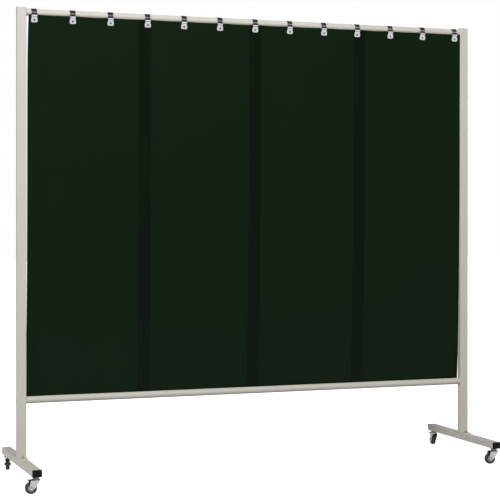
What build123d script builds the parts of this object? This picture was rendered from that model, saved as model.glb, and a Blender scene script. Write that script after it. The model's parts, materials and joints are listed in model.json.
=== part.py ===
from build123d import *
import math
import os

os.makedirs("parts", exist_ok=True)

# Mobile welding screen, in millimetres. X runs along the screen, Y to its rear, Z up.
# The origin is on the floor, midway between the posts and midway along the feet.

# Frame
frame_width = 2156
overall_height = 2018
tube_drop = 5
bottom_tube_z = 346
foot_length = 644
fit_clearance = 0.05

# Posts, rectangular tube
post_width = 40
post_depth = 30
post_wall = 1.5
post_corner = 3
cap_flange = 2
cap_wall = 2
cap_edge = 0.8
cap_skirt_gap = 0.5

# Cross tubes, round
tube_radius = 15
tube_wall = 2
insert_length = 25

# Screws that hold the cross tubes, and the plugs over their access holes
screw_radius = 4
screw_hole_radius = 4.3
screw_head_radius = 7
screw_head_height = 4.5
screw_reach = 22
plug_radius = 9
plug_depth = 6

# Feet, rectangular tube, with plastic end caps
foot_width = 40
foot_height = 30
foot_wall = 2
foot_corner = 3
end_cap_flange = 3
end_cap_depth = 10
end_cap_edge = 1

# Base plates and their bolts
plate_length = 90
plate_thickness = 4
plate_corner = 3
bolt_spacing = 60
bolt_radius = 4
bolt_hole_radius = 4.5
bolt_head_across = 13
bolt_head_height = 5
bolt_flange_radius = 8.5
bolt_flange_height = 1.2
bolt_length = 16
nut_across = 13
nut_height = 6.5

# Castors
castor_height = 70
castor_inset = 28
trail = 20
wheel_radius = 25
tyre_half_width = 9
tyre_edge = 3
rim_radius = 15
rim_half_width = 8
rim_wall = 2.5
web_half_width = 3.5
hub_radius = 6.5
axle_radius = 3
axle_head_radius = 5
axle_head_height = 3
running_clearance = 0.06
cheek_thickness = 1.5
cheek_gap = 12
cheek_front = 15
cheek_back = 23
cheek_end_radius = 8.5
cheek_throat_x = 13
cheek_knee_x = 5.5
cheek_knee_z = 37.75
cheek_toe_angle = -37
crown_radius = 18
crown_thickness = 2
boss_radius = 14
boss_height = 6.2
boss_taper = 12
race_radius = 17
race_thickness = 3.5
race_gap = 0.3
kingpin_radius = 5
kingpin_head_radius = 8
kingpin_head_height = 3
stem_reach = 12

# Brake pedals
pedal_pivot_x = -2
pedal_pivot_z = 49
pedal_peg_radius = 2
pedal_boss_radius = 3.5
pedal_arm_thickness = 2.1
pedal_arm_gap = 0.3
pedal_half_width = 15
pedal_plate_thickness = 3
pedal_plate_start = 24.5
pedal_plate_end = 33
pedal_plate_rise = 6.8
pedal_slope = 18
pedal_arm_back = 27
pedal_arm_low = 40
pedal_arm_toe = 10.5

# Curtain of overlapping film strips
strip_width = 570
strip_overlap = 57
film_thickness = 1
side_gap = 3
layer_gap = 0.4
rest_gap = 0.5
film_drop = 11

# Hangers
hangers_per_pitch = 3
end_hanger_inset = 33
ring_clearance = 1
ring_lift = 0.3
band_thickness = 1
band_width = 24
tab_width = 28
tab_height = 20
tab_corner = 6
tab_drop = 34
grip_clearance = 0.1
joggle_angle = 232
joggle_drop = 20
joggle_lap = 0.25
rivet_radius = 2.5
rivet_head_radius = 4.5
rivet_head_height = 1.4
rivet_head_taper = 30
film_hole_radius = 3

# Places worked out from the sizes above
clear_width = frame_width - 2 * post_width
post_x = (frame_width - post_width) / 2
foot_bottom = castor_height
foot_top = foot_bottom + foot_height
plate_top = foot_top + plate_thickness
post_tube_top = overall_height - cap_flange
top_tube_z = overall_height - tube_drop - tube_radius
tube_levels = (bottom_tube_z, top_tube_z)
foot_tube_length = foot_length - 2 * end_cap_flange
castor_y = foot_length / 2 - castor_inset
bore_radius = tube_radius - tube_wall
sides = (("left", -1), ("right", 1))
ends = (("front", -1), ("rear", 1))


# Posts: open rectangular tubes, drilled for the cross tubes' screws
for side, sign in sides:
    with BuildPart() as post:
        with BuildSketch(Plane.XY.offset(plate_top)):
            with Locations((sign * post_x, 0)):
                RectangleRounded(post_width, post_depth, post_corner)
                RectangleRounded(
                    post_width - 2 * post_wall,
                    post_depth - 2 * post_wall,
                    post_corner - post_wall,
                    mode=Mode.SUBTRACT,
                )
        extrude(amount=post_tube_top - plate_top)
        with BuildSketch(Plane.YZ.offset(sign * post_x)):
            with Locations(*[(0, level) for level in tube_levels]):
                Circle(screw_hole_radius)
        extrude(amount=-sign * post_width, mode=Mode.SUBTRACT)
        with BuildSketch(Plane.YZ.offset(sign * post_x)):
            with Locations(*[(0, level) for level in tube_levels]):
                Circle(plug_radius)
        extrude(amount=sign * post_width, mode=Mode.SUBTRACT)
    post.part.label = f"{side}_post"
    export_step(post.part, f"parts/{side}_post.step")

# Caps pressed into the posts' tops, with a skirt that stops above the upper plugs
cap_skirt = post_tube_top - top_tube_z - plug_radius - cap_skirt_gap
with BuildPart() as post_caps:
    with BuildSketch(Plane.XY.offset(post_tube_top)):
        with Locations((-post_x, 0), (post_x, 0)):
            RectangleRounded(post_width, post_depth, post_corner)
    extrude(amount=cap_flange)
    fillet(post_caps.edges().group_by(Axis.Z)[-1], radius=cap_edge)
    with BuildSketch(Plane.XY.offset(post_tube_top)):
        with Locations((-post_x, 0), (post_x, 0)):
            RectangleRounded(
                post_width - 2 * post_wall - 2 * fit_clearance,
                post_depth - 2 * post_wall - 2 * fit_clearance,
                post_corner - post_wall,
            )
            Rectangle(
                post_width - 2 * post_wall - 2 * cap_wall,
                post_depth - 2 * post_wall - 2 * cap_wall,
                mode=Mode.SUBTRACT,
            )
    extrude(amount=-cap_skirt)
post_caps.part.label = "post_caps"
export_step(post_caps.part, "parts/post_caps.step")

# Cross tubes: the upper one carries the curtain, the lower one stiffens the frame
for name, level in (("bottom_tube", bottom_tube_z), ("top_tube", top_tube_z)):
    with BuildPart() as tube:
        with BuildSketch(Plane.YZ.offset(-clear_width / 2)):
            with Locations((0, level)):
                Circle(tube_radius)
                Circle(bore_radius, mode=Mode.SUBTRACT)
        extrude(amount=clear_width)
    tube.part.label = name
    export_step(tube.part, f"parts/{name}.step")

# Threaded inserts pressed into the four ends of the cross tubes
with BuildPart() as tube_inserts:
    for side, sign in sides:
        with BuildSketch(Plane.YZ.offset(sign * clear_width / 2)):
            with Locations(*[(0, level) for level in tube_levels]):
                Circle(bore_radius - fit_clearance)
                Circle(screw_radius + fit_clearance, mode=Mode.SUBTRACT)
        extrude(amount=-sign * insert_length)
tube_inserts.part.label = "tube_inserts"
export_step(tube_inserts.part, "parts/tube_inserts.step")

# Screws through the posts' inner walls into the inserts
with BuildPart() as tube_screws:
    for side, sign in sides:
        with BuildSketch(Plane.YZ.offset(sign * (clear_width / 2 + post_wall))):
            with Locations(*[(0, level) for level in tube_levels]):
                Circle(screw_head_radius)
        extrude(amount=sign * screw_head_height)
        with BuildSketch(Plane.YZ.offset(sign * (clear_width / 2 + post_wall))):
            with Locations(*[(0, level) for level in tube_levels]):
                Circle(screw_radius)
        extrude(amount=-sign * (post_wall + screw_reach))
tube_screws.part.label = "tube_screws"
export_step(tube_screws.part, "parts/tube_screws.step")

# Flush plastic plugs that close the access holes in the posts' outer walls
with BuildPart() as side_plugs:
    for side, sign in sides:
        with BuildSketch(Plane.YZ.offset(sign * frame_width / 2)):
            with Locations(*[(0, level) for level in tube_levels]):
                Circle(plug_radius - fit_clearance)
        extrude(amount=-sign * plug_depth)
side_plugs.part.label = "side_plugs"
export_step(side_plugs.part, "parts/side_plugs.step")

# Base plates, welded under the posts and bolted to the feet
for side, sign in sides:
    with BuildPart() as base_plate:
        with BuildSketch(Plane.XY.offset(foot_top)):
            with Locations((sign * post_x, 0)):
                RectangleRounded(foot_width, plate_length, plate_corner)
            with Locations((sign * post_x, -bolt_spacing / 2), (sign * post_x, bolt_spacing / 2)):
                Circle(bolt_hole_radius, mode=Mode.SUBTRACT)
        extrude(amount=plate_thickness)
    base_plate.part.label = f"{side}_base_plate"
    export_step(base_plate.part, f"parts/{side}_base_plate.step")

# Flanged hexagon bolts through the base plates
bolt_places = [(sign * post_x, end * bolt_spacing / 2) for _, sign in sides for _, end in ends]
with BuildPart() as base_bolts:
    with BuildSketch(Plane.XY.offset(plate_top)):
        with Locations(*bolt_places):
            Circle(bolt_flange_radius)
    extrude(amount=bolt_flange_height)
    with BuildSketch(Plane.XY.offset(plate_top)):
        with Locations(*bolt_places):
            RegularPolygon(bolt_head_across / 2, 6, major_radius=False)
    extrude(amount=bolt_head_height + bolt_flange_height)
    with BuildSketch(Plane.XY.offset(plate_top)):
        with Locations(*bolt_places):
            Circle(bolt_radius)
    extrude(amount=-bolt_length)
base_bolts.part.label = "base_bolts"
export_step(base_bolts.part, "parts/base_bolts.step")

# Weld nuts inside the feet, for the plates' bolts above and the castors' stems below
castor_places = [(sign * post_x, end * castor_y) for _, sign in sides for _, end in ends]
with BuildPart() as weld_nuts:
    with BuildSketch(Plane.XY.offset(foot_top - foot_wall)):
        with Locations(*bolt_places):
            RegularPolygon(nut_across / 2, 6, major_radius=False)
            Circle(bolt_radius + fit_clearance, mode=Mode.SUBTRACT)
    extrude(amount=-nut_height)
    with BuildSketch(Plane.XY.offset(foot_bottom + foot_wall)):
        with Locations(*castor_places):
            RegularPolygon(nut_across / 2, 6, major_radius=False)
            Circle(bolt_radius + fit_clearance, mode=Mode.SUBTRACT)
    extrude(amount=nut_height)
weld_nuts.part.label = "weld_nuts"
export_step(weld_nuts.part, "parts/weld_nuts.step")

# Feet: rectangular tubes from front to rear
for side, sign in sides:
    with BuildPart() as foot:
        with BuildSketch(Plane.XZ.offset(foot_tube_length / 2)):
            with Locations((sign * post_x, foot_bottom + foot_height / 2)):
                RectangleRounded(foot_width, foot_height, foot_corner)
                RectangleRounded(
                    foot_width - 2 * foot_wall,
                    foot_height - 2 * foot_wall,
                    foot_corner - foot_wall,
                    mode=Mode.SUBTRACT,
                )
        extrude(amount=-foot_tube_length)
        with BuildSketch(Plane.XY.offset(foot_top - foot_height / 2)):
            with Locations((sign * post_x, -bolt_spacing / 2), (sign * post_x, bolt_spacing / 2)):
                Circle(bolt_hole_radius)
        extrude(amount=foot_height, mode=Mode.SUBTRACT)
        with BuildSketch(Plane.XY.offset(foot_bottom + foot_height / 2)):
            with Locations((sign * post_x, -castor_y), (sign * post_x, castor_y)):
                Circle(bolt_hole_radius)
        extrude(amount=-foot_height, mode=Mode.SUBTRACT)
    foot.part.label = f"{side}_foot"
    export_step(foot.part, f"parts/{side}_foot.step")

# End caps pressed into the feet
for side, sign in sides:
    for end, direction in ends:
        with BuildPart() as end_cap:
            with BuildSketch(Plane.XZ.offset(-direction * foot_tube_length / 2)):
                with Locations((sign * post_x, foot_bottom + foot_height / 2)):
                    RectangleRounded(foot_width, foot_height, foot_corner)
            extrude(amount=-direction * end_cap_flange)
            outer_edges = end_cap.edges().sort_by(Axis.Y).filter_by(
                lambda edge: abs(edge.center().Y) > foot_length / 2 - end_cap_flange / 2
            )
            fillet(outer_edges, radius=end_cap_edge)
            with BuildSketch(Plane.XZ.offset(-direction * foot_tube_length / 2)):
                with Locations((sign * post_x, foot_bottom + foot_height / 2)):
                    RectangleRounded(
                        foot_width - 2 * foot_wall - 2 * fit_clearance,
                        foot_height - 2 * foot_wall - 2 * fit_clearance,
                        foot_corner - foot_wall,
                    )
                    Rectangle(
                        foot_width - 2 * foot_wall - 2 * cap_wall,
                        foot_height - 2 * foot_wall - 2 * cap_wall,
                        mode=Mode.SUBTRACT,
                    )
            extrude(amount=direction * end_cap_depth)
        end_cap.part.label = f"{side}_{end}_end_cap"
        export_step(end_cap.part, f"parts/{side}_{end}_end_cap.step")

# Castors. Each turns on its kingpin, by the angle given here from where its wheel trails
# to the screen's left. Those in front trail to the left, and those behind to the rear.
castors = (
    ("left_front", -1, -1, 0),
    ("right_front", 1, -1, 0),
    ("left_rear", -1, 1, -101),
    ("right_rear", 1, 1, -100),
)
race_bottom = castor_height - race_thickness
boss_top = race_bottom - race_gap
crown_top = boss_top - boss_height
crown_bottom = crown_top - crown_thickness
kingpin_head_top = crown_bottom - race_gap
cheek_outer = cheek_gap + cheek_thickness
hub_half_width = cheek_gap - race_gap
arm_outer = cheek_gap - pedal_arm_gap
arm_inner = arm_outer - pedal_arm_thickness
wheel_centre = (-trail, wheel_radius)
pivot = (pedal_pivot_x, pedal_pivot_z)
cheek_toe = (
    -trail + cheek_end_radius * math.cos(math.radians(cheek_toe_angle)),
    wheel_radius + cheek_end_radius * math.sin(math.radians(cheek_toe_angle)),
)
plate_low = (-pedal_plate_start, pedal_pivot_z + pedal_plate_rise - pedal_plate_thickness)

for name, sign, end, turn in castors:
    heading = math.radians(turn)
    level = Plane(
        origin=(sign * post_x, end * castor_y, 0),
        x_dir=(math.cos(heading), math.sin(heading), 0),
        z_dir=(0, 0, 1),
    )
    upright = Plane(origin=level.origin, x_dir=level.x_dir, z_dir=-level.y_dir)

    # Stem, fixed race and kingpin: one turned and riveted piece, screwed into the foot
    stem_steps = (
        (bolt_radius, castor_height, castor_height + stem_reach),
        (race_radius, race_bottom, castor_height),
        (kingpin_radius, kingpin_head_top, race_bottom),
        (kingpin_head_radius, kingpin_head_top - kingpin_head_height, kingpin_head_top),
    )
    with BuildPart() as stem:
        for radius, low, high in stem_steps:
            with BuildSketch(level.offset(low)):
                Circle(radius)
            extrude(amount=high - low)
    stem.part.label = f"{name}_castor_stem"
    export_step(stem.part, f"parts/{name}_castor_stem.step")

    # Fork: pressed crown with a raised boss, and two cheeks that taper to the axle
    with BuildPart() as fork:
        with BuildSketch(level.offset(crown_bottom)):
            Circle(crown_radius)
            with Locations((-cheek_back / 2, 0)):
                Rectangle(cheek_back, 2 * cheek_outer)
        extrude(amount=crown_thickness)
        with BuildSketch(level.offset(crown_top)):
            Circle(boss_radius)
        extrude(amount=boss_height, taper=boss_taper)
        for hand in (-1, 1):
            with BuildSketch(upright.offset(hand * cheek_gap)):
                with BuildLine():
                    Polyline(
                        (-cheek_back, crown_top),
                        (cheek_front, crown_top),
                        (cheek_throat_x, pedal_pivot_z),
                        (cheek_knee_x, cheek_knee_z),
                        cheek_toe,
                        (-trail - cheek_end_radius, wheel_radius),
                        close=True,
                    )
                make_face()
                with Locations(wheel_centre):
                    Circle(cheek_end_radius)
                with Locations(wheel_centre):
                    Circle(axle_radius + fit_clearance, mode=Mode.SUBTRACT)
                with Locations(pivot):
                    Circle(pedal_peg_radius + running_clearance, mode=Mode.SUBTRACT)
            extrude(amount=hand * cheek_thickness)
        with BuildSketch(level.offset(crown_bottom)):
            Circle(kingpin_radius + running_clearance)
        extrude(amount=boss_top - crown_bottom, mode=Mode.SUBTRACT)
    fork.part.label = f"{name}_fork"
    export_step(fork.part, f"parts/{name}_fork.step")

    # Wheel rim: moulded hub, web and ring
    with BuildPart() as rim:
        for radius, half_width in (
            (rim_radius, rim_half_width),
            (hub_radius, hub_half_width),
        ):
            with BuildSketch(upright):
                with Locations(wheel_centre):
                    Circle(radius)
            extrude(amount=half_width, both=True)
        for hand in (-1, 1):
            with BuildSketch(upright.offset(hand * web_half_width)):
                with Locations(wheel_centre):
                    Circle(rim_radius - rim_wall)
                    Circle(hub_radius, mode=Mode.SUBTRACT)
            extrude(amount=hand * rim_half_width, mode=Mode.SUBTRACT)
        with BuildSketch(upright):
            with Locations(wheel_centre):
                Circle(axle_radius + running_clearance)
        extrude(amount=hub_half_width, both=True, mode=Mode.SUBTRACT)
    rim.part.label = f"{name}_rim"
    export_step(rim.part, f"parts/{name}_rim.step")

    # Tyre: moulded rubber ring with rounded shoulders
    with BuildPart() as tyre:
        with BuildSketch(upright):
            with Locations(wheel_centre):
                Circle(wheel_radius)
        extrude(amount=tyre_half_width, both=True)
        fillet(tyre.edges().filter_by(GeomType.CIRCLE), radius=tyre_edge)
        with BuildSketch(upright):
            with Locations(wheel_centre):
                Circle(rim_radius)
        extrude(amount=tyre_half_width, both=True, mode=Mode.SUBTRACT)
    tyre.part.label = f"{name}_tyre"
    export_step(tyre.part, f"parts/{name}_tyre.step")

    # Axle: a headed pin, riveted over at both cheeks
    with BuildPart() as axle:
        with BuildSketch(upright):
            with Locations(wheel_centre):
                Circle(axle_radius)
        extrude(amount=cheek_outer, both=True)
        for hand in (-1, 1):
            with BuildSketch(upright.offset(hand * cheek_outer)):
                with Locations(wheel_centre):
                    Circle(axle_head_radius)
            extrude(amount=hand * axle_head_height)
    axle.part.label = f"{name}_axle"
    export_step(axle.part, f"parts/{name}_axle.step")

    # Brake pedal: two arms beside the wheel, joined by a tread plate behind the crown
    slope = math.radians(pedal_slope)
    run = pedal_plate_end - pedal_plate_start
    rise = run * math.tan(slope)
    with BuildPart() as pedal:
        with BuildSketch(upright):
            with BuildLine():
                Polyline(
                    plate_low,
                    (plate_low[0] - run, plate_low[1] + rise),
                    (plate_low[0] - run, plate_low[1] + rise + pedal_plate_thickness),
                    (plate_low[0], plate_low[1] + pedal_plate_thickness),
                    close=True,
                )
            make_face()
        extrude(amount=pedal_half_width, both=True)
        for hand in (-1, 1):
            with BuildSketch(upright.offset(hand * arm_inner)):
                with BuildLine():
                    Polyline(
                        (pedal_pivot_x, pedal_pivot_z + pedal_boss_radius),
                        (plate_low[0], plate_low[1] + pedal_plate_thickness / 2),
                        (-pedal_arm_back, plate_low[1] + pedal_plate_thickness / 2),
                        (-pedal_arm_back, pedal_arm_low),
                        (pedal_pivot_x - pedal_arm_toe, pedal_arm_low),
                        (pedal_pivot_x, pedal_pivot_z - pedal_boss_radius),
                        close=True,
                    )
                make_face()
                with Locations(pivot):
                    Circle(pedal_boss_radius)
            extrude(amount=hand * pedal_arm_thickness)
            with BuildSketch(upright.offset(hand * arm_outer)):
                with Locations(pivot):
                    Circle(pedal_peg_radius)
            extrude(amount=hand * (pedal_arm_gap + cheek_thickness))
    pedal.part.label = f"{name}_brake_pedal"
    export_step(pedal.part, f"parts/{name}_brake_pedal.step")

# Curtain. Its film hangs in front of the top tube and leans back behind the bottom tube.
# Each strip's left edge lies in front of its neighbour, and its right edge behind. The two
# outer strips are cut narrower, to end beside the posts.
curtain_width = clear_width - 2 * side_gap
strip_pitch = strip_width - strip_overlap
strip_count = math.ceil((curtain_width - strip_overlap) / strip_pitch)
strip_centres = [(i - (strip_count - 1) / 2) * strip_pitch for i in range(strip_count)]
hanger_count = strip_count * hangers_per_pitch + 1
hanger_pitch = (clear_width - 2 * end_hanger_inset) / (hanger_count - 1)
hanger_places = [(i - (hanger_count - 1) / 2) * hanger_pitch for i in range(hanger_count)]
shingle = film_thickness + layer_gap
slot = film_thickness + shingle + 2 * grip_clearance
ring_inner = tube_radius + ring_clearance
ring_outer = ring_inner + band_thickness
cut_reach = 2 * ring_outer
ring_z = top_tube_z - ring_clearance + ring_lift
hang_y = slot / 2 - ring_inner
edge_shift = shingle * strip_width / 2 / strip_pitch
rest_y = tube_radius + rest_gap + film_thickness / 2 + edge_shift
lean = math.atan2(rest_y - hang_y, ring_z - bottom_tube_z)
film_top = top_tube_z - film_drop
film_length = (film_top - bottom_tube_z) / math.cos(lean)
tab_z = top_tube_z - tab_drop
up_the_film = Vector(0, -math.sin(lean), math.cos(lean))


def film_point(x, z):
    """The point of the curtain's middle plane at this place along and above the floor."""
    return Vector(x, hang_y + (ring_z - z) * math.tan(lean), z)


# Film strips, punched for the hangers' rivets
hole_depth = (film_top - tab_z) / math.cos(lean)
for number, centre in enumerate(strip_centres, start=1):
    across = Vector(strip_pitch, shingle, 0).normalized()
    film_plane = Plane(
        origin=film_point(centre, film_top),
        x_dir=across,
        z_dir=across.cross(up_the_film),
    )
    left = max(-strip_width / 2, -curtain_width / 2 - centre)
    right = min(strip_width / 2, curtain_width / 2 - centre)
    hole_places = [
        (place - centre, -hole_depth)
        for place in hanger_places
        if left + film_hole_radius < place - centre < right - film_hole_radius
    ]
    with BuildPart() as strip:
        with BuildSketch(film_plane):
            with Locations(((left + right) / 2, -film_length / 2)):
                Rectangle(right - left, film_length)
            with Locations(*hole_places):
                Circle(film_hole_radius, mode=Mode.SUBTRACT)
        extrude(amount=film_thickness / 2, both=True)
    strip.part.label = f"strip_{number}"
    export_step(strip.part, f"parts/strip_{number}.step")

# Hangers: a sheet band round the top tube, whose two ends grip the film between them
tab_bottom = tab_z - tab_height / 2
front_top = (-ring_inner, ring_z)
back_top_z = ring_z - joggle_drop
joggle = math.radians(joggle_angle)
for number, place in enumerate(hanger_places, start=1):
    section = Plane.YZ.offset(place)
    grip = film_point(place, tab_bottom).Y
    back = film_point(place, back_top_z).Y + slot / 2
    ring_end = (
        (ring_inner + band_thickness / 2) * math.cos(joggle),
        ring_z + (ring_inner + band_thickness / 2) * math.sin(joggle),
    )
    with BuildPart() as hanger:
        with BuildSketch(section):
            with Locations((0, ring_z)):
                Circle(ring_outer)
                Circle(ring_inner, mode=Mode.SUBTRACT)
            with BuildLine():
                Polyline(
                    (0, ring_z),
                    (-cut_reach, ring_z),
                    (cut_reach * math.cos(joggle), ring_z + cut_reach * math.sin(joggle)),
                    close=True,
                )
            make_face(mode=Mode.SUBTRACT)
            with BuildLine():
                Polyline(
                    front_top,
                    (-ring_outer, ring_z),
                    (grip - slot / 2 - band_thickness, tab_bottom),
                    (grip - slot / 2, tab_bottom),
                    close=True,
                )
            make_face()
            with BuildLine():
                Polyline(
                    (back, back_top_z),
                    (back + band_thickness, back_top_z),
                    (grip + slot / 2 + band_thickness, tab_bottom),
                    (grip + slot / 2, tab_bottom),
                    close=True,
                )
            make_face()
            with BuildLine():
                Polyline(
                    (ring_end[0] - band_thickness / 2, ring_end[1] + joggle_lap),
                    (ring_end[0] + band_thickness / 2, ring_end[1] - joggle_lap),
                    (back + band_thickness, back_top_z - joggle_lap),
                    (back, back_top_z - joggle_lap),
                    close=True,
                )
            make_face()
        extrude(amount=tab_width / 2, both=True)
        with BuildSketch(Plane.XZ.offset(-cut_reach)):
            with Locations((place, tab_z)):
                RectangleRounded(tab_width, tab_height, tab_corner)
            with Locations((place, (tab_z + ring_z + ring_outer) / 2)):
                Rectangle(band_width, ring_z + ring_outer - tab_z)
        extrude(amount=2 * cut_reach, mode=Mode.INTERSECT)
        with BuildSketch(Plane(film_point(place, tab_z), x_dir=(1, 0, 0), z_dir=(0, -1, 0))):
            Circle(rivet_radius + fit_clearance)
        extrude(amount=slot / 2 + 2 * band_thickness, both=True, mode=Mode.SUBTRACT)
    hanger.part.label = f"hanger_{number:02d}"
    export_step(hanger.part, f"parts/hanger_{number:02d}.step")

# Rivets through the hangers' tabs and the film
with BuildPart() as hanger_rivets:
    for place in hanger_places:
        centre = Plane(
            film_point(place, tab_z),
            x_dir=(1, 0, 0),
            z_dir=(0, -math.cos(lean), -math.sin(lean)),
        )
        with BuildSketch(centre):
            Circle(rivet_radius)
        extrude(amount=slot / 2 + band_thickness, both=True)
        for hand in (-1, 1):
            with BuildSketch(centre.offset(hand * (slot / 2 + band_thickness))):
                Circle(rivet_head_radius)
            extrude(amount=hand * rivet_head_height, taper=rivet_head_taper)
hanger_rivets.part.label = "hanger_rivets"
export_step(hanger_rivets.part, "parts/hanger_rivets.step")
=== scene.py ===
import bmesh
import bpy
import json
import math
from mathutils import Matrix, Vector, noise


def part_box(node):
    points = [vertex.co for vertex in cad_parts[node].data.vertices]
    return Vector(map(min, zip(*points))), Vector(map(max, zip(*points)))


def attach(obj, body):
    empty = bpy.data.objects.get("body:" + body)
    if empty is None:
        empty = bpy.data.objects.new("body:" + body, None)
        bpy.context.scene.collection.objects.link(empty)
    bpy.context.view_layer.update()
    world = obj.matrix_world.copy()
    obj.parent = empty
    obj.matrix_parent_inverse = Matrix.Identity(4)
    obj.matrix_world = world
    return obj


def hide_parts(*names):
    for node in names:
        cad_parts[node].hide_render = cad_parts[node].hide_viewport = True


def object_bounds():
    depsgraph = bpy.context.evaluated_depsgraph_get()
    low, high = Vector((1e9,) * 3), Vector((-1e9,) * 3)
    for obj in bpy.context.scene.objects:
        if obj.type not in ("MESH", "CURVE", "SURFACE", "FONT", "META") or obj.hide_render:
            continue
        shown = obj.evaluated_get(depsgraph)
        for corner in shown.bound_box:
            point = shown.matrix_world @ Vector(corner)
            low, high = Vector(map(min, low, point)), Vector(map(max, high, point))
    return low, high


# Mobile welding screen: a tube frame on four braked castors, with a curtain of dark green film.
# Metres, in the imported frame's axes: X along the screen, Y to its rear, Z up from the floor.
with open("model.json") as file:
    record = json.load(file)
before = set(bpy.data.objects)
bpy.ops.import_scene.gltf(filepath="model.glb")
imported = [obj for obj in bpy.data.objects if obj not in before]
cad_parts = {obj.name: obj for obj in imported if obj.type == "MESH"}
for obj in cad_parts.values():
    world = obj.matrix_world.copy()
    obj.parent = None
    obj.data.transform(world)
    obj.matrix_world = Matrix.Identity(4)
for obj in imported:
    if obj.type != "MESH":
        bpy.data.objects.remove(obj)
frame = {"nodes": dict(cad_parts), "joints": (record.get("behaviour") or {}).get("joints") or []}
cad_box = [list(corner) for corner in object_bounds()]
mm = 0.001


# Studio floor and room. The screen stands on a plain white floor in front of a white background.
# The camera sees white there, and reflections a little less. Other rays find a darker floor, so
# that little light comes up from below, and reflections find a dark ceiling, as in a real studio.
class Shade:
    """A socket in a material's nodes. Arithmetic on it adds Math nodes."""

    def __init__(self, tree, socket=None):
        self.tree = tree
        self.socket = socket

    def node(self, kind, settings=None, sockets=None, output=0):
        """Adds a node: its settings come first, then the values or links of its sockets."""
        added = self.tree.nodes.new("ShaderNode" + kind)
        for name, value in (settings or {}).items():
            setattr(added, name, value)
        for name, value in (sockets or {}).items():
            if isinstance(value, Shade):
                self.tree.links.new(value.socket, added.inputs[name])
            else:
                added.inputs[name].default_value = value
        return Shade(self.tree, added.outputs[output] if added.outputs else None)

    def maths(self, operation, first, second=0.0):
        return self.node("Math", {"operation": operation}, {0: first, 1: second})

    def mix(self, share, first, second):
        """The first colour where share is 0, and the second where it is 1."""
        return self.node("Mix", {"data_type": "RGBA"}, {0: share, 6: first, 7: second}, output=2)

    def __add__(self, other):
        return self.maths("ADD", self, other)

    def __sub__(self, other):
        return self.maths("SUBTRACT", self, other)

    def __rsub__(self, other):
        return self.maths("SUBTRACT", other, self)

    def __mul__(self, other):
        return self.maths("MULTIPLY", self, other)

    def __truediv__(self, other):
        return self.maths("DIVIDE", self, other)

    def __lt__(self, other):
        return self.maths("LESS_THAN", self, other)

    def __gt__(self, other):
        return self.maths("GREATER_THAN", self, other)

    def __abs__(self):
        return self.maths("ABSOLUTE", self)

    __radd__ = __add__
    __rmul__ = __mul__


def seen_directly(tree):
    """1 for rays from the camera and for reflected or refracted ones, and 0 for soft light."""
    kinds = ("Camera", "Glossy", "Transmission")
    rays = [tree.node("LightPath", output=f"Is {kind} Ray") for kind in kinds]
    return rays[0].maths("MAXIMUM", rays[0], rays[1].maths("MAXIMUM", rays[1], rays[2]))


floor_size = 60
floor_grey = (0.25, 0.25, 0.25, 1)
glow_near, glow_far = 0.62, 1.00
glow_reach = (0.3, 2.0)
mirrored_glow = 0.5
bpy.ops.mesh.primitive_grid_add(size=floor_size, x_subdivisions=4, y_subdivisions=4)
floor = bpy.context.object
floor.name = "studio_floor"
floor_paint = bpy.data.materials.new("studio_floor")
floor_paint.use_nodes = True
floor_paint.node_tree.nodes.clear()
tree = Shade(floor_paint.node_tree)
white = tree.node("BsdfDiffuse", {}, {"Color": (1, 1, 1, 1)})
from_middle = tree.node("TexCoord", output="Object")
apart = tree.node("VectorMath", {"operation": "LENGTH"}, {0: from_middle}, "Value")
spread = {0: apart, 1: glow_reach[0], 2: glow_reach[1], 3: glow_near, 4: glow_far}
glow_strength = tree.node("MapRange", {}, spread) * (
    mirrored_glow + (1 - mirrored_glow) * tree.node("LightPath", output="Is Camera Ray")
)
glow = tree.node("Emission", {}, {"Color": (1, 1, 1, 1), "Strength": glow_strength})
lit = tree.node("AddShader", {}, {0: white, 1: glow})
dull = tree.node("BsdfDiffuse", {}, {"Color": floor_grey})
surface = tree.node("MixShader", {}, {0: seen_directly(tree), 1: dull, 2: lit})
tree.node("OutputMaterial", {}, {"Surface": surface})
floor.data.materials.append(floor_paint)

room_light = 0.40
ceiling_edge = (0.16, 0.26)
ceiling_shade = 0.05
world = bpy.data.worlds.new("studio_room")
bpy.context.scene.world = world
world.use_nodes = True
world.node_tree.nodes.clear()
tree = Shade(world.node_tree)
upward = tree.node("SeparateXYZ", {}, {0: tree.node("TexCoord", output="Generated")}, output="Z")
ceiling = tree.node("MapRange", {}, {0: upward, 1: ceiling_edge[0], 2: ceiling_edge[1]})
is_glossy = tree.node("LightPath", output="Is Glossy Ray")
backdrop = tree.node("Background", {}, {"Strength": 1 - ceiling * is_glossy * (1 - ceiling_shade)})
soft = tree.node("Background", {}, {"Color": (1, 1, 1, 1), "Strength": room_light})
backdrop.socket.node.inputs["Color"].default_value = (1, 1, 1, 1)
surface = tree.node("MixShader", {}, {0: seen_directly(tree), 1: soft, 2: backdrop})
tree.node("OutputWorld", {}, {"Surface": surface})


# Lamps: a softbox in front, above the screen, and a weaker one to its left, so that the light
# falls off towards its foot and towards its right. Both are plain white and soft, and bright
# metal doesn't mirror them.
front_power, left_power = 125, 90


def softbox(name, place, target, size, power):
    lamp = bpy.data.lights.new(name, "AREA")
    lamp.shape = "RECTANGLE"
    lamp.size, lamp.size_y = size
    lamp.energy = power
    stand = bpy.data.objects.new(name, lamp)
    stand.location = place
    stand.visible_camera = False
    stand.visible_glossy = False
    stand.rotation_euler = (Vector(target) - Vector(place)).to_track_quat("-Z", "Y").to_euler()
    bpy.context.scene.collection.objects.link(stand)


middle = Vector(cad_box[0]).lerp(Vector(cad_box[1]), 0.5)
softbox("front_softbox", (-0.6, -3.6, 3.6), middle + Vector((0, 0, 0.6)), (3.0, 1.6), front_power)
softbox("left_softbox", (-5.5, -2.5, 3.0), middle, (2.5, 2.5), left_power)


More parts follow.
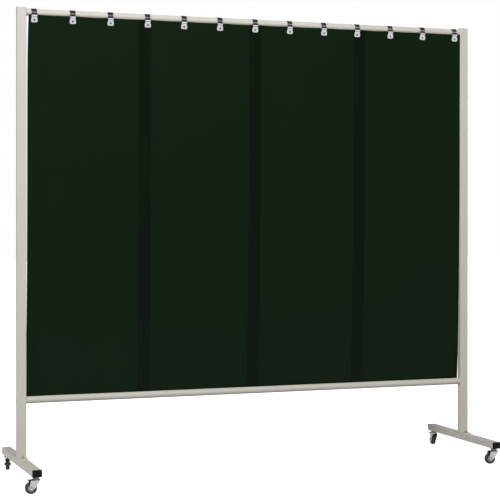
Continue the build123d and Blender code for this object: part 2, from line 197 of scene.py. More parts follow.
# Camera, level and a little above half height, left of the screen's middle. Its place comes
# from fitting the posts, tubes and feet to the photograph, whose side is 500 pixels.
photo_side = 500
focal_pixels = 1484.5
horizon_row = 214.75
sensor = 36.0
camera_place = (-2.3430, -6.2591, 1.1347)
camera_turn = -20.366
camera = bpy.data.objects.new("camera", bpy.data.cameras.new("camera"))
camera.data.sensor_width = sensor
camera.data.lens = focal_pixels / photo_side * sensor
camera.data.shift_y = (horizon_row - photo_side / 2) / photo_side
camera.data.clip_end = 200
camera.location = camera_place
camera.rotation_euler = (math.radians(90), 0, math.radians(camera_turn))
bpy.context.scene.collection.objects.link(camera)
bpy.context.scene.camera = camera
bpy.context.scene.view_settings.view_transform = "Standard"


# Feet, posts, base plates and cross tubes: cold-drawn steel tube and plate, degreased and
# powder coated warm light grey. The coat has a fine orange peel, and is a little duller and
# darker towards the floor, with random darker patches there.
def finish(name, constants, varied):
    """A material whose surface has these constant values, and the sockets that varied gives."""
    material = bpy.data.materials.new(name)
    material.use_nodes = True
    shader = material.node_tree.nodes["Principled BSDF"]
    for socket, value in constants.items():
        shader.inputs[socket].default_value = value
    for socket, value in varied(Shade(material.node_tree)).items():
        material.node_tree.links.new(value.socket, shader.inputs[socket])
    return material


def grain(tree, size, detail=2.0, stretch=(1, 1, 1)):
    """Noise from 0 to 1 whose grains are about this size, in metres, at the piece's own scale."""
    place = tree.node("TexCoord", output="Object")
    scaled = tree.node("VectorMath", {"operation": "MULTIPLY"}, {0: place, 1: stretch})
    return tree.node("TexNoise", {}, {"Vector": scaled, "Scale": 1 / size, "Detail": detail})


def height(tree):
    """Height above the floor, in metres."""
    return tree.node("SeparateXYZ", {}, {0: tree.node("TexCoord", output="Object")}, output="Z")


def relief(tree, depth, relative, strength=1.0):
    """A bump whose relative height goes from 0 to 1 over this depth, in metres."""
    return tree.node("Bump", {}, {"Height": relative, "Distance": depth, "Strength": strength})


coat = (0.640, 0.615, 0.555, 1)
coat_low = (0.560, 0.530, 0.465, 1)
coat_scuff = (0.500, 0.480, 0.430, 1)
darkening_start_height, darkest_height = 0.35, 0.05


def powder_coat(tree):
    low = tree.node("MapRange", {}, {0: height(tree), 1: darkening_start_height, 2: darkest_height})
    cloud = grain(tree, 0.30, 3.0)
    scuff = tree.node("MapRange", {}, {0: grain(tree, 0.02, 4.0), 1: 0.66, 2: 0.78})
    colour = tree.mix(low * (0.35 + 0.5 * cloud), coat, coat_low)
    colour = tree.mix(scuff * low * 0.5, colour, coat_scuff)
    peel = grain(tree, 0.0016, 1.0)
    return {
        "Base Color": colour,
        "Roughness": 0.34 + 0.10 * cloud + 0.12 * scuff * low,
        "Normal": relief(tree, 0.00006, peel, 0.6),
    }


frame_paint = finish("frame_paint", {"IOR": 1.5}, powder_coat)
painted = (
    ["top_tube", "bottom_tube"]
    + [f"{side}_{part}" for side in ("left", "right") for part in ("post", "base_plate", "foot")]
)


def coat_node(name, material):
    """Gives a carried-over part its finish."""
    frame["nodes"][name].data.materials.clear()
    frame["nodes"][name].data.materials.append(material)


for name in painted:
    coat_node(name, frame_paint)


# Weld beads: a short run of weld across the front and the rear of each post joins it to its
# base plate. The ripples of the run show through the coat.
merge_gap = 0.005 * mm
crease_angle = 38
bevel_angle = 40


def skin(rows, around=False, closed=False, capped=False):
    """Faces between neighbouring rows of points. around joins the last row to the first,
    closed joins the ends of each row, and capped fills the first and the last row."""
    built = bmesh.new()
    grid = [[built.verts.new(point) for point in row] for row in rows]
    for low, high in zip(grid, grid[1:] + (grid[:1] if around else [])):
        for i in range(len(low) if closed else len(low) - 1):
            j = (i + 1) % len(low)
            built.faces.new((low[i], low[j], high[j], high[i]))
    if capped:
        built.faces.new(grid[0])
        built.faces.new(grid[-1])
    bmesh.ops.remove_doubles(built, verts=built.verts, dist=merge_gap)
    bmesh.ops.recalc_face_normals(built, faces=built.faces)
    return built


def fit_piece(name, parts, material, body, stands_for=(), thickness=0, edge=0, smooth=0):
    """Makes one piece of these meshes, rounds its edges and puts it on its body."""
    whole = bmesh.new()
    for part in parts:
        mesh = bpy.data.meshes.new(name)
        part.to_mesh(mesh)
        part.free()
        whole.from_mesh(mesh)
        bpy.data.meshes.remove(mesh)
    mesh = bpy.data.meshes.new(name)
    whole.to_mesh(mesh)
    whole.free()
    piece = bpy.data.objects.new(name, mesh)
    bpy.context.scene.collection.objects.link(piece)
    if thickness:
        sheet = piece.modifiers.new("sheet", "SOLIDIFY")
        sheet.thickness = thickness
        sheet.offset = 0
        sheet.use_even_offset = True
    if edge:
        rounding = piece.modifiers.new("edge", "BEVEL")
        rounding.width = edge
        rounding.segments = 3
        rounding.limit_method = "ANGLE"
        rounding.angle_limit = math.radians(bevel_angle)
    if smooth:
        piece.modifiers.new("smooth", "SUBSURF").render_levels = smooth
        piece.modifiers["smooth"].levels = smooth
    if piece.modifiers:
        depsgraph = bpy.context.evaluated_depsgraph_get()
        piece.data = bpy.data.meshes.new_from_object(piece.evaluated_get(depsgraph))
        piece.modifiers.clear()
        bpy.data.meshes.remove(mesh)
    piece.data.name = name
    piece.data.shade_smooth()
    piece.data.set_sharp_from_angle(angle=math.radians(crease_angle))
    piece.data.materials.append(material)
    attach(piece, body)
    if stands_for:
        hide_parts(*stands_for)
    return piece


bead_radius = 2.4 * mm
bead_step = 0.7 * mm
bead_ripple = 2.6 * mm
bead_relief = 0.22
bead_arc = 9
bead_start, bead_sweep = -20, 130
bead_inset = 2 * mm


def weld_bead(start, end, away):
    """A rippled fillet of weld from start to end, on the side of the wall that away points to."""
    along = end - start
    count = round(along.length / bead_step)
    turns = [math.radians(bead_start + bead_sweep * k / (bead_arc - 1)) for k in range(bead_arc)]
    rows = []
    for i in range(count + 1):
        run = i / count
        taper = min(1.0, 6 * min(run, 1 - run) + 0.25)
        ripple = 1 + bead_relief * abs(math.sin(math.pi * run * along.length / bead_ripple))
        wander = 1 + 0.12 * noise.noise(Vector((run * 7, start.x * 3, start.y * 50)))
        reach = bead_radius * taper * ripple * wander / (1 + bead_relief)
        centre = start + along * run
        rows.append([
            centre + reach * (away * math.cos(turn) + Vector((0, 0, math.sin(turn))))
            for turn in turns
        ])
    return skin(rows, closed=True, capped=True)


for side in ("left", "right"):
    low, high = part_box(f"{side}_post")
    beads = []
    for y, outward in ((low.y, -1), (high.y, 1)):
        ends = [Vector((x, y, low.z)) for x in (low.x + bead_inset, high.x - bead_inset)]
        beads.append(weld_bead(ends[0], ends[1], Vector((0, outward, 0))))
    fit_piece(f"{side}_post_weld", beads, frame_paint, "frame")


# Post caps and side plugs: moulded plastic in the frame's grey, pressed into the posts' tops
# and into the access holes of the tubes' screws. They are a shade yellower than the coat.
cap_grey = (0.610, 0.590, 0.525, 1)


def moulded_grey(tree):
    speckle = grain(tree, 0.0009, 2.0)
    return {
        "Base Color": tree.mix(grain(tree, 0.05) * 0.5, cap_grey, coat_low),
        "Roughness": 0.46 + 0.12 * speckle,
        "Normal": relief(tree, 0.00005, speckle, 0.7),
    }


grey_plastic = finish("grey_plastic", {"IOR": 1.46}, moulded_grey)
for name in ("post_caps", "side_plugs"):
    coat_node(name, grey_plastic)


# Fasteners: zinc-plated steel. Threaded inserts and screws hold the cross tubes, weld nuts
# sit in the feet, and flanged hexagon bolts hold each base plate down before and behind its post.
zinc = (0.60, 0.61, 0.62, 1)
zinc_dull = (0.40, 0.41, 0.42, 1)


def plated(light, dark, smooth_roughness, patch):
    """Zinc plate: bright metal with duller patches of this size and fine brush marks."""

    def varied(tree):
        bloom = grain(tree, patch, 3.0)
        marks = grain(tree, 0.0008, 2.0, (1, 1, 0.15))
        return {
            "Base Color": tree.mix(bloom, light, dark),
            "Roughness": smooth_roughness + 0.16 * bloom + 0.06 * marks,
            "Normal": relief(tree, 0.00003, marks, 0.5),
        }

    return varied


fastener_zinc = finish("fastener_zinc", {"Metallic": 1.0}, plated(zinc, zinc_dull, 0.22, 0.006))
for name in ("tube_inserts", "tube_screws", "weld_nuts"):
    coat_node(name, fastener_zinc)


def turned(profile, place=Matrix(), segments=48, closed=False):
    """A turned shape: the profile's (radius, height) points go round the place's Z axis."""
    rows = []
    for i in range(segments):
        turn = math.tau * i / segments
        rows.append([
            place @ Vector((radius * math.cos(turn), radius * math.sin(turn), rise))
            for radius, rise in profile
        ])
    return skin(rows, around=True, closed=closed)


def prism(outline, low, high, place=Matrix()):
    """A flat-sided solid: the outline's points in X and Y, from low to high along Z."""
    rows = [[place @ Vector((x, y, z)) for x, y in outline] for z in (low, high)]
    return skin(rows, closed=True, capped=True)


bolt_across = 13 * mm
bolt_flange_radius = 8.5 * mm
bolt_flange_rise = 1.2 * mm
bolt_head_rise = 6.2 * mm
bolt_shank_radius = 4 * mm
bolt_dish = 0.8 * mm
bolt_twist = 0.3
bolts = []
low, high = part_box("base_bolts")
plate_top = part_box("left_base_plate")[1].z
for side in ("left", "right"):
    plate_low, plate_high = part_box(f"{side}_base_plate")
    for y in (low.y + bolt_flange_radius, high.y - bolt_flange_radius):
        place = Matrix.Translation(((plate_low.x + plate_high.x) / 2, y, plate_top))
        corner = bolt_across / math.sqrt(3)
        hexagon = [
            (corner * math.cos(turn), corner * math.sin(turn))
            for turn in (math.tau * k / 6 + bolt_twist for k in range(6))
        ]
        bolts.append(prism(hexagon, bolt_flange_rise, bolt_head_rise - bolt_dish, place))
        bolts.append(turned([
            (0, bolt_head_rise - bolt_dish),
            (0.55 * corner, bolt_head_rise - bolt_dish),
            (0.68 * corner, bolt_head_rise),
            (0.80 * corner, bolt_head_rise),
            (0.86 * corner, bolt_head_rise - bolt_dish),
        ], place))
        bolts.append(turned([
            (bolt_flange_radius - 0.3 * mm, 0),
            (bolt_flange_radius, 0.3 * mm),
            (bolt_flange_radius - 0.4 * mm, 0.8 * bolt_flange_rise),
            (bolt_across / 2, 1.4 * bolt_flange_rise),
        ], place))
        shank_end = low.z - plate_top
        shank = [(bolt_shank_radius, 0), (bolt_shank_radius, shank_end), (0, shank_end)]
        bolts.append(turned(shank, place))
fit_piece(
    "base_bolt_heads", bolts, fastener_zinc, "frame", ["base_bolts"],
    edge=0.35 * mm,
)


# End caps: black plastic plugs pressed into the ends of the feet, with rounded outer edges.
# Their faces have a fine spark-eroded texture that goes grey where shoes have rubbed it.
cap_black = (0.004, 0.004, 0.004, 1)
cap_rubbed = (0.014, 0.014, 0.013, 1)


def moulded_black(tree):
    texture = grain(tree, 0.0007, 2.0)
    rubbed = tree.node("MapRange", {}, {0: grain(tree, 0.012, 4.0), 1: 0.55, 2: 0.75})
    return {
        "Base Color": tree.mix(rubbed * 0.6, cap_black, cap_rubbed),
        "Roughness": 0.42 + 0.10 * texture + 0.10 * rubbed,
        "Normal": relief(tree, 0.00006, texture, 0.8),
    }


black_plastic = finish("black_plastic", {"IOR": 1.46, "Specular IOR Level": 0.15}, moulded_black)
for side in ("left", "right"):
    for end in ("front", "rear"):
        coat_node(f"{side}_{end}_end_cap", black_plastic)


# Castors: where each one stands and points comes from its two axes in the frame. Its local X
# points ahead, away from the trailing wheel, local Y lies along the axle, and Z goes up.
joints = {joint["name"]: joint for joint in frame["joints"]}
castors = [f"{side}_{end}" for side in ("left", "right") for end in ("front", "rear")]


def castor_place(name):
    """The castor's local axes, with the origin on the floor under the kingpin."""
    across = Vector(joints[f"{name}_wheel_spin"]["axis"])
    ahead = across.cross(Vector((0, 0, 1)))
    kingpin = Vector(joints[f"{name}_castor_turn"]["pos_m"])
    place = Matrix((ahead, across, Vector((0, 0, 1)))).transposed().to_4x4()
    place.translation = (kingpin.x, kingpin.y, 0)
    return place


spin_centre = Vector(joints["left_front_wheel_spin"]["pos_m"])
trail = (spin_centre - Vector(joints["left_front_castor_turn"]["pos_m"])).xy.length
wheel_radius = spin_centre.z
wheel_centre = Matrix.Translation((-trail, 0, wheel_radius))
wheel_offset = wheel_centre @ Matrix.Rotation(math.radians(-90), 4, "X")
castor_grey = (0.62, 0.62, 0.61, 1)
castor_zinc = finish("castor_zinc", {"Metallic": 1.0}, plated(castor_grey, zinc_dull, 0.28, 0.010))


# Castor stems: a turned stud with the fixed half of the ball race, screwed up into the foot.
# The race is a pressed cup whose rim is rolled over the balls. Its zinc is painted dark,
# a painted shade for the shadow under the foot.
race_shade_dark = (0.085, 0.090, 0.080, 1)
race_depth = 3.5 * mm
stud, kingpin, pin_head = 4 * mm, 5 * mm, 8 * mm


# Painted shade: the race's colour is a dark painted shade for the shadow under the foot, blended at
# random with dull zinc.
def race_painted_shade(tree):
    race_blotch = grain(tree, 0.004, 3.0)
    return {
        "Base Color": tree.mix(race_blotch, race_shade_dark, zinc_dull),
        "Roughness": 0.35 + 0.25 * race_blotch,
    }


shaded_race_finish = finish("race_with_painted_shade", {"Metallic": 0.7}, race_painted_shade)
for name in castors:
    low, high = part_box(f"{name}_castor_stem")
    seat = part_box(f"{name.split('_')[0]}_foot")[0].z
    race = (high.x - low.x) / 2
    race_low = seat - race_depth
    profile = [
        (0, high.z), (stud - 0.6 * mm, high.z), (stud, high.z - 0.6 * mm), (stud, seat),
        (race - 1.4 * mm, seat), (race - 0.3 * mm, seat - 0.5 * mm), (race, seat - 1.5 * mm),
        (race - 0.3 * mm, race_low + 0.5 * mm), (race - 1.5 * mm, race_low), (kingpin, race_low),
        (kingpin, low.z + 3 * mm), (pin_head, low.z + 3 * mm), (pin_head, low.z + 1 * mm),
        (pin_head - 1.5 * mm, low.z), (0, low.z),
    ]
    fit_piece(
        f"{name}_race_and_stud", [turned(profile, castor_place(name))], shaded_race_finish,
        "frame", [f"{name}_castor_stem"],
    )


# Forks: one pressing of 1.6 mm steel, bright zinc plated. The sheet runs up from one axle
# hole, over the crown in two round bends, and down to the other. A domed boss on the crown
# holds the turning half of the ball race.
fork_sheet = 1.6 * mm
fork_crown = 59 * mm
fork_half_gap = 12.7 * mm
fork_bend = 4.5 * mm
fork_end = 8.5 * mm
fork_back = 23 * mm
fork_disc = 18 * mm
fork_front_edge = ((25, -11.5), (31, -3.0), (38, 5.0), (45, 10.5), (52, 13.6), (59, 15.0))
fork_boss = (
    (15.4, 0), (15.2, 0.9), (14.2, 1.4), (13.6, 2.2), (13.2, 4.6), (12.6, 5.6), (11.6, 6.2),
    (5.2, 6.2),
)


def fork_edges(level, side_way):
    """Where the sheet begins and ends along local X, at this height and place across."""
    if level < wheel_radius:
        half = math.sqrt(max(fork_end**2 - (wheel_radius - level) ** 2, 0))
        return -trail - half, -trail + half
    points = [(h * mm, x * mm) for h, x in fork_front_edge]
    front = points[-1][1]
    for (h0, x0), (h1, x1) in zip(points, points[1:]):
        if h0 <= level <= h1:
            front = x0 + (x1 - x0) * (level - h0) / (h1 - h0)
    share = (level - wheel_radius) / (fork_crown - wheel_radius)
    back = -trail - fork_end + (trail + fork_end - fork_back) * share**0.8
    disc = math.sqrt(max(fork_disc**2 - side_way**2, 0)) if level > fork_crown - fork_bend else 0
    return back, max(front, disc)


def fork_path():
    """The sheet's middle line in local Y and Z, from one cheek's end to the other."""
    tip = [wheel_radius - fork_end * math.cos(math.pi / 2 * i / 8) for i in range(8)]
    bend_start = fork_crown - fork_bend
    straight = [wheel_radius + (bend_start - wheel_radius) * i / 14 for i in range(14)]
    half = [(-fork_half_gap, level) for level in tip + straight]
    for i in range(7):
        turn = math.pi / 2 * i / 6
        inward, upward = fork_bend * (1 - math.cos(turn)), fork_bend * math.sin(turn)
        half.append((-fork_half_gap + inward, bend_start + upward))
    half += [(-(fork_half_gap - fork_bend) * (1 - i / 4), fork_crown) for i in range(1, 4)]
    return half + [(0, fork_crown)] + [(-y, z) for y, z in reversed(half)]


for name in castors:
    place = castor_place(name)
    rows = []
    for y, z in fork_path():
        back, front = fork_edges(z, y)
        rows.append([place @ Vector((back + (front - back) * i / 12, y, z)) for i in range(13)])
    fit_piece(
        f"{name}_pressed_fork", [skin(rows)], castor_zinc, f"{name}_swivel",
        [f"{name}_fork"], thickness=fork_sheet, edge=0.35 * mm,
    )
    boss_seat = fork_crown + fork_sheet / 2
    boss = [(radius * mm, boss_seat + rise * mm) for radius, rise in fork_boss]
    fit_piece(
        f"{name}_race_housing", [turned(boss, place)], castor_zinc, f"{name}_swivel",
    )


# Rims: one moulding of light grey plastic, with a hub, a dished web on both sides and a lip
# that the tyre sits against.
rim_grey = (0.56, 0.56, 0.54, 1)
rim_dirty = (0.40, 0.39, 0.37, 1)
rim_half = (
    (3.1, 11.6), (5.4, 11.6), (6.2, 11.0), (6.5, 8.0), (7.2, 5.0), (9.0, 4.0), (11.0, 4.2),
    (12.0, 5.2), (12.5, 7.2), (13.0, 8.0), (14.4, 8.2), (14.9, 7.7), (15.0, 0.0),
)


def moulded_rim(tree):
    dirt = grain(tree, 0.006, 4.0)
    return {
        "Base Color": tree.mix(dirt * 0.8, rim_grey, rim_dirty),
        "Roughness": 0.38 + 0.2 * dirt,
        "Normal": relief(tree, 0.00004, grain(tree, 0.0008), 0.6),
    }


def both_ends(half):
    """A profile in metres, from its upper half in millimetres, which is mirrored below."""
    mirrored = [(radius * mm, -rise * mm) for radius, rise in reversed(half) if rise]
    return [(radius * mm, rise * mm) for radius, rise in half] + mirrored


rim_plastic = finish("rim_plastic", {"IOR": 1.5}, moulded_rim)
rim_profile = both_ends(rim_half)
for name in castors:
    fit_piece(
        f"{name}_moulded_rim", [turned(rim_profile, castor_place(name) @ wheel_offset, closed=True)],
        rim_plastic, f"{name}_wheel", [f"{name}_rim"],
    )


# Tyres: dark grey thermoplastic rubber moulded round the rim, with square shoulders, a fine
# groove each side of the tread, and a paler worn band where it rolls.
tyre_inner = 15 * mm
tyre_half_width = 9 * mm
tyre_square = 0.42
tread_groove = 4.6 * mm
groove_half_width = 0.5 * mm
groove_depth = 0.7 * mm
rubber_dark = (0.030, 0.030, 0.032, 1)
rubber_worn = (0.120, 0.118, 0.112, 1)


def moulded_rubber(tree):
    dust = grain(tree, 0.010, 4.0)
    fine = grain(tree, 0.0012, 3.0)
    return {
        "Base Color": tree.mix(dust * 0.35, rubber_dark, rubber_worn),
        "Roughness": 0.55 + 0.2 * dust,
        "Normal": relief(tree, 0.00012, fine, 0.5),
    }


def worn_rubber(tree):
    dust = grain(tree, 0.004, 5.0)
    return {
        "Base Color": tree.mix(0.45 + 0.4 * dust, rubber_dark, rubber_worn),
        "Roughness": 0.70 + 0.15 * dust,
        "Normal": relief(tree, 0.00015, dust, 0.6),
    }


tyre_rubber = finish("tyre_rubber", {"IOR": 1.5, "Specular IOR Level": 0.4}, moulded_rubber)
tread_rubber = finish("tread_rubber", {"IOR": 1.5, "Specular IOR Level": 0.3}, worn_rubber)
tyre_profile = []
for i in range(41):
    turn = math.pi * i / 40
    across = tyre_half_width * math.copysign(abs(math.cos(turn)) ** tyre_square, math.cos(turn))
    radius = tyre_inner + (wheel_radius - tyre_inner) * math.sin(turn) ** tyre_square
    if abs(abs(across) - tread_groove) < groove_half_width:
        radius -= groove_depth
    tyre_profile.append((radius, across))
for name in castors:
    tyre = fit_piece(
        f"{name}_treaded_tyre",
        [turned(tyre_profile, castor_place(name) @ wheel_offset, segments=72, closed=True)],
        tyre_rubber, f"{name}_wheel", [f"{name}_tyre"],
    )
    tyre.data.materials.append(tread_rubber)
    to_wheel = (castor_place(name) @ wheel_offset).inverted()
    for face in tyre.data.polygons:
        centre = to_wheel @ face.center
        at_edge = centre.xy.length > wheel_radius - 1.0 * mm
        on_tread = at_edge and abs(centre.z) < tread_groove - 0.6 * mm
        face.material_index = 1 if on_tread else 0


# Axles: a zinc-plated pin through the cheeks and the hub, with both ends riveted over into
# low heads with a punched centre.
axle_half = (
    (0, 15.2), (1.6, 15.4), (2.4, 16.4), (3.6, 16.2), (4.7, 15.2), (5.0, 14.2), (5.0, 13.5),
    (3.0, 13.5),
)
for name in castors:
    fit_piece(
        f"{name}_riveted_axle", [turned(both_ends(axle_half), castor_place(name) @ wheel_offset)],
        castor_zinc, f"{name}_swivel", [f"{name}_axle"],
    )


# Brake pedals: black plastic levers. Two arms run forward beside the wheel to pegs in the
# cheeks, and the ridged tread plate between them is pressed down onto the tyre.
pedal_arm_inner = 9.6 * mm
pedal_arm_outer = 11.7 * mm
pedal_half_width = 15 * mm
pedal_low_edge = ((-24.5, 52.8), (-33.4, 55.6))
pedal_top_edge = ((-33.4, 58.4), (-24.5, 55.9))
pedal_ridges = 4
pedal_ridge_rise = 0.7
pedal_arm = (
    (-2.0, 52.5), (-14.0, 54.6), (-27.0, 54.6), (-27.0, 46.0), (-25.5, 41.5), (-20.0, 40.0),
    (-12.5, 40.0), (-7.0, 42.2), (-2.0, 45.5), (0.5, 46.5), (1.5, 49.0), (0.5, 51.5),
)
pedal_peg_radius = 2 * mm
pedal_peg_end = 13.4 * mm
pedal_pivot = (-2 * mm, 49 * mm, 0)


def ridged_edge():
    """The tread plate's upper edge, from its tip forward, with its ridges."""
    tip, root = (Vector(point) for point in pedal_top_edge)
    points = [tip]
    for k in range(pedal_ridges):
        for share, rise in ((0.15, 0), (0.35, pedal_ridge_rise), (0.65, pedal_ridge_rise), (0.85, 0)):
            points.append(tip.lerp(root, (k + share) / pedal_ridges) + Vector((0, rise)))
    return points + [root]


side_on = Matrix.Rotation(math.radians(90), 4, "X")
for name in castors:
    place = castor_place(name) @ side_on
    outline = list(pedal_low_edge) + [tuple(point) for point in ridged_edge()]
    tread = [(x * mm, z * mm) for x, z in outline]
    arm = [(x * mm, z * mm) for x, z in pedal_arm]
    pivot = Matrix.Translation(pedal_pivot)
    parts = [prism(tread, -pedal_half_width, pedal_half_width, place)]
    for hand in (-1, 1):
        parts.append(prism(arm, hand * pedal_arm_inner, hand * pedal_arm_outer, place))
        root, end = hand * pedal_arm_outer, hand * pedal_peg_end
        peg = [(pedal_peg_radius, root), (pedal_peg_radius, end), (0, end)]
        parts.append(turned(peg, place @ pivot, segments=20))
    fit_piece(
        f"{name}_ridged_pedal", parts, black_plastic, f"{name}_brake",
        [f"{name}_brake_pedal"], edge=0.4 * mm,
    )


# Curtain film: four strips of 1 mm soft dark green film, 570 mm wide, the outer two cut to end
# at the posts. They hang in front of the top tube and bend back behind the bottom tube. Each
# strip's left edge lies in front of its neighbour. Where two overlap, less light comes through.
strips = [f"strip_{number}" for number in range(1, 5)]
strip_boxes = [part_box(name) for name in strips]
film_thickness = 1.0 * mm
layer_step = 1.4 * mm
strip_pitch = strip_boxes[2][0].x - strip_boxes[1][0].x
half_overlap = (strip_boxes[1][1].x - strip_boxes[1][0].x - strip_pitch) / 2
half_curtain = (strip_boxes[-1][1].x - strip_boxes[0][0].x) / 2
film_green = (0.0042, 0.0136, 0.0047, 1)
film_doubled = (0.0022, 0.0076, 0.0030, 1)
film_bloom = (0.0075, 0.0200, 0.0085, 1)


def soft_film(tree):
    across = tree.node("SeparateXYZ", {}, {0: tree.node("TexCoord", output="Object")}, output="X")
    nearest = across.maths("ROUND", across / strip_pitch) * strip_pitch
    doubled = (abs(across - nearest) < half_overlap) * (abs(across) < half_curtain - strip_pitch / 2)
    colour = tree.mix(doubled, film_green, film_doubled)
    bloom = tree.node("MapRange", {}, {0: grain(tree, 0.12, 4.0, (1, 1, 0.4)), 1: 0.55, 2: 0.85})
    creases = grain(tree, 0.05, 3.0, (1, 1, 0.25))
    return {
        "Base Color": tree.mix(bloom * 0.30, colour, film_bloom),
        "Roughness": 0.20 + 0.16 * bloom,
        "Normal": relief(tree, 0.0012, creases, 0.25),
    }


green_film = finish("green_film", {"IOR": 1.5, "Specular IOR Level": 0.045}, soft_film)

hangers = [f"hanger_{number:02d}" for number in range(1, 14)]
hanger_places = [(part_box(name)[0].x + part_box(name)[1].x) / 2 for name in hangers]
hanger_pitch = hanger_places[1] - hanger_places[0]
film_top = strip_boxes[0][1].z
film_length = film_top - strip_boxes[0][0].z
edge_dip = 4.0 * mm
dip_reach = 90 * mm
pinch_bow = 3.0 * mm
pinch_reach = 260 * mm
slow_wave = 4.0 * mm
foot_wave = 2.0 * mm


def between_hangers(x):
    """0 at a hanger and 1 halfway between two."""
    return math.sin(math.pi * (x - hanger_places[0]) / hanger_pitch) ** 2


def own_draw(x):
    """How slack the film is in this gap between hangers, from 0 to 1."""
    return 0.5 + 0.5 * noise.noise(Vector((x / hanger_pitch * 0.8, 3.7, 0)))


def film_ripple(x, drop):
    """How far the film stands forward of its plane, this far down from its top edge."""
    pinch = pinch_bow * between_hangers(x) * own_draw(x) * math.exp(-drop / pinch_reach)
    middle = math.sin(math.pi * min(drop / film_length, 1)) ** 0.8
    slow = slow_wave * noise.noise(Vector((x * 2.1, drop * 0.55, 1.3)))
    fine = 0.35 * slow_wave * noise.noise(Vector((x * 6.5, drop * 0.9, 7.9)))
    foot = -foot_wave * (drop / film_length) ** 3
    foot *= 0.5 + 0.5 * noise.noise(Vector((x * 3.0, 0, 5.5)))
    return pinch + middle * (slow + fine) + foot


slant = layer_step / strip_pitch
inner_low, inner_high = strip_boxes[1]
edge_shift = slant * (inner_high.x - inner_low.x) / 2
hang_y = inner_low.y + edge_shift + film_thickness / 2
set_back = inner_high.y - inner_low.y - 2 * edge_shift - film_thickness
steady_lean = 0.12
bend_power = 3.5
foot_spread = 2.5 * mm
corner_draw = 6 * mm
corner_reach = 130 * mm


def film_y(z):
    """The film's middle plane: it hangs almost straight, then bends back to the bottom tube."""
    run = (film_top - z) / film_length
    return hang_y + set_back * (steady_lean * run + (1 - steady_lean) * max(run, 0) ** bend_power)


film_columns = 72
film_rows = 150
row_crowding = 1.15
edge_fade = 6
for name, (low, high) in zip(strips, strip_boxes):
    width = high.x - low.x
    rows = []
    for i in range(film_rows + 1):
        drop = film_length * (i / film_rows) ** row_crowding
        row = []
        for j in range(film_columns + 1):
            x = low.x + width * j / film_columns
            dip = edge_dip * between_hangers(x) * own_draw(x) * max(0, 1 - drop / dip_reach) ** 2
            y = film_y(film_top - drop) + slant * (x - (low.x + high.x) / 2) - film_ripple(x, drop)
            if name == strips[0]:
                x += corner_draw * (1 - j / film_columns) ** edge_fade * math.exp(-drop / corner_reach)
            if name == strips[-1]:
                x += foot_spread * (j / film_columns) ** edge_fade * drop / film_length
            row.append(Vector((x, y, film_top - drop - dip)))
        rows.append(row)
    film = fit_piece(
        f"film_{name}", [skin(rows)], green_film, "curtain", [name],
        thickness=film_thickness, edge=0.25 * mm,
    )


# Hangers: a band of bright plated spring steel, wrapped round the top tube. Below the tube's
# middle its front end steps out over a ledge, and two pressed ribs stiffen the neck below it.
# Its rear end comes up from under the tube, and the two rounded tabs grip the film.
band_thickness = 1.0 * mm
ring_radius = 16.5 * mm
ring_start, ring_end = 240, 548
band_half_width = 12 * mm
tab_height = 20 * mm
tab_half_width = 14 * mm
tab_corner = 6 * mm
film_slot = 2.6 * mm
grip = (film_slot + band_thickness) / 2
ledge_drop = 8.7 * mm
ledge_step = 4.2 * mm
neck_step = 1.4 * mm
rib_rise = 1.6 * mm
rib_count = 2
joggle_drop = 20 * mm
hanger_skew = 2.2
tab_steps, ring_steps, neck_steps, band_columns = 24, 48, 48, 8
hanger_low, hanger_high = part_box("hanger_01")
ring_z = hanger_high.z - ring_radius - band_thickness / 2
tab_top = hanger_low.z + tab_height
plate_bright = (0.80, 0.81, 0.82, 1)
plate_dull = (0.52, 0.53, 0.54, 1)


def bright_plate(tree):
    marks = grain(tree, 0.0012, 2.0, (0.2, 1, 1))
    cloud = grain(tree, 0.008, 3.0)
    return {
        "Base Color": tree.mix(cloud, plate_bright, plate_dull),
        "Roughness": 0.06 + 0.10 * cloud + 0.05 * marks,
        "Normal": relief(tree, 0.00003, marks, 0.5),
    }


def tab_taper(z):
    """Half the sheet's width at this height: the neck, then the tab with its round corners."""
    rise = min(z - hanger_low.z, tab_top - z)
    if z > tab_top:
        return band_half_width
    if rise >= tab_corner:
        return tab_half_width
    curve = math.sqrt(max(tab_corner**2 - (tab_corner - rise) ** 2, 0))
    narrow = tab_half_width - tab_corner + curve
    return max(narrow, band_half_width) if z > (hanger_low.z + tab_top) / 2 else narrow


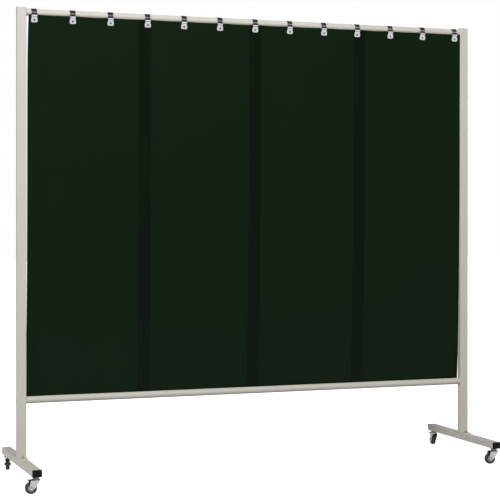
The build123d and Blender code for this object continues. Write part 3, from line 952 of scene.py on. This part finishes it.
def hanger_rows():
    """The band's middle line in Y and Z with its half width, from the rear tab to the front tab."""
    rear_top = ring_z - joggle_drop
    rear = [hanger_low.z + (rear_top - hanger_low.z) * i / tab_steps for i in range(tab_steps + 1)]
    rows = [(film_y(z) + grip, z, tab_taper(z)) for z in rear]
    for i in range(ring_steps + 1):
        turn = math.radians(ring_start + (ring_end - ring_start) * i / ring_steps)
        y, z = ring_radius * math.cos(turn), ring_z + ring_radius * math.sin(turn)
        rows.append((y, z, band_half_width))
    front_top = ring_z - ledge_drop
    for i in range(neck_steps + 1):
        z = front_top + (hanger_low.z - front_top) * i / neck_steps
        neck = max(0, (z - tab_top) / (front_top - tab_top))
        step = neck_step * min(1, 4 * neck) + (ledge_step - neck_step) * neck
        rib = rib_rise * (1 - math.cos(math.tau * rib_count * neck)) / 2
        rows.append((film_y(z) - grip - step - rib, z, tab_taper(z)))
    return rows


def hanging_at(x):
    """Where a hanger hangs from the tube, and how far it is turned out of true."""
    skew = hanger_skew * noise.noise(Vector((x * 9, 2.2, 0.4)))
    return Matrix.Translation((x, 0, ring_z)) @ Matrix.Rotation(math.radians(skew), 4, "Y")


hanger_chrome = finish("hanger_chrome", {"Metallic": 1.0}, bright_plate)
for name, x in zip(hangers, hanger_places):
    rows = [
        [
            hanging_at(x) @ Vector((half * (2 * k / band_columns - 1), y, z - ring_z))
            for k in range(band_columns + 1)
        ]
        for y, z, half in hanger_rows()
    ]
    fit_piece(
        f"plated_{name}", [skin(rows)], hanger_chrome, "curtain", [name],
        thickness=band_thickness, edge=0.3 * mm,
    )


# Rivets: one through each pair of tabs and the film between them, with low domed heads.
rivet_head_radius = 4.5 * mm
rivet_head_rise = 1.4 * mm
rivet_reach = film_slot / 2 + band_thickness
rivet_z = (hanger_low.z + tab_top) / 2
rivet_grey = (0.20, 0.20, 0.20, 1)
rivet_dark = (0.08, 0.08, 0.08, 1)
rivets = []
for x in hanger_places:
    centre = hanging_at(x) @ Matrix.Translation((0, film_y(rivet_z), rivet_z - ring_z))
    place = centre @ Matrix.Rotation(math.radians(90), 4, "X")
    dome = [
        (rivet_head_radius * math.sin(turn), rivet_reach + rivet_head_rise * math.cos(turn))
        for turn in (math.pi / 2 * k / 8 for k in range(9))
    ]
    profile = dome + [(radius, -rise) for radius, rise in reversed(dome)]
    rivets.append(turned(profile, place, segments=28))
rivet_plate = plated(rivet_grey, rivet_dark, 0.30, 0.004)
rivet_finish = finish("rivet_zinc", {"Metallic": 1.0}, rivet_plate)
fit_piece("rivet_heads", rivets, rivet_finish, "curtain", ["hanger_rivets"])
